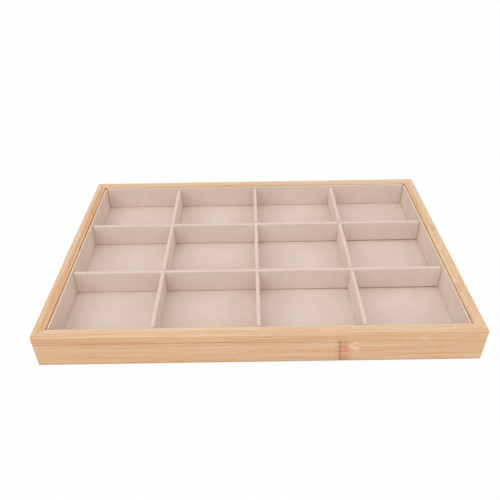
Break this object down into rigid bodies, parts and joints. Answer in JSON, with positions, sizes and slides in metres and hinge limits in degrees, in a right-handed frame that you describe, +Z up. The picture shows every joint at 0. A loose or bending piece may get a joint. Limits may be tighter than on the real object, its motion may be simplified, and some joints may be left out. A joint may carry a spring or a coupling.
{
  "type": "jewelry tray",
  "caption": "Flat rectangular bamboo display tray with a lift-out velvet insert and a loose grid of velvet dividers that parts it into small compartments for jewelry.",
  "frame": {"origin": "middle of the underside, on the surface that the tray stands on", "axes": "+X along the long front rail, +Y from front to back, +Z up"},
  "size_m": [0.35, 0.24, 0.03],
  "materials": {
    "bamboo": "satin lacquer",
    "base_ply": "sanded, bare",
    "board": "grey board, bare",
    "velvet": "short nap, matte"
  },
  "bodies": {
    "frame": {"front_rail": "bamboo", "back_rail": "bamboo", "left_rail": "bamboo", "right_rail": "bamboo", "corner_tongue_front_left": "bamboo", "corner_tongue_front_right": "bamboo", "corner_tongue_back_left": "bamboo", "corner_tongue_back_right": "bamboo", "base_panel": "base_ply"},
    "insert": {"insert_floor_board": "board", "insert_floor_velvet": "velvet", "left_wall_board": "board", "left_wall_velvet": "velvet", "right_wall_board": "board", "right_wall_velvet": "velvet", "front_wall_board": "board", "front_wall_velvet": "velvet", "back_wall_board": "board", "back_wall_velvet": "velvet"},
    "divider_grid": {"long_divider_left_board": "board", "long_divider_left_velvet": "velvet", "long_divider_middle_board": "board", "long_divider_middle_velvet": "velvet", "long_divider_right_board": "board", "long_divider_right_velvet": "velvet", "cross_divider_front_board": "board", "cross_divider_front_velvet": "velvet", "cross_divider_back_board": "board", "cross_divider_back_velvet": "velvet"}
  },
  "joints": [
    {"name": "insert_lift", "type": "slide", "parent": "frame", "child": "insert", "axis": [0, 0, 1], "range_m": [0, 0.04]},
    {"name": "divider_lift", "type": "slide", "parent": "insert", "child": "divider_grid", "axis": [0, 0, 1], "range_m": [0, 0.035]}
  ]
}
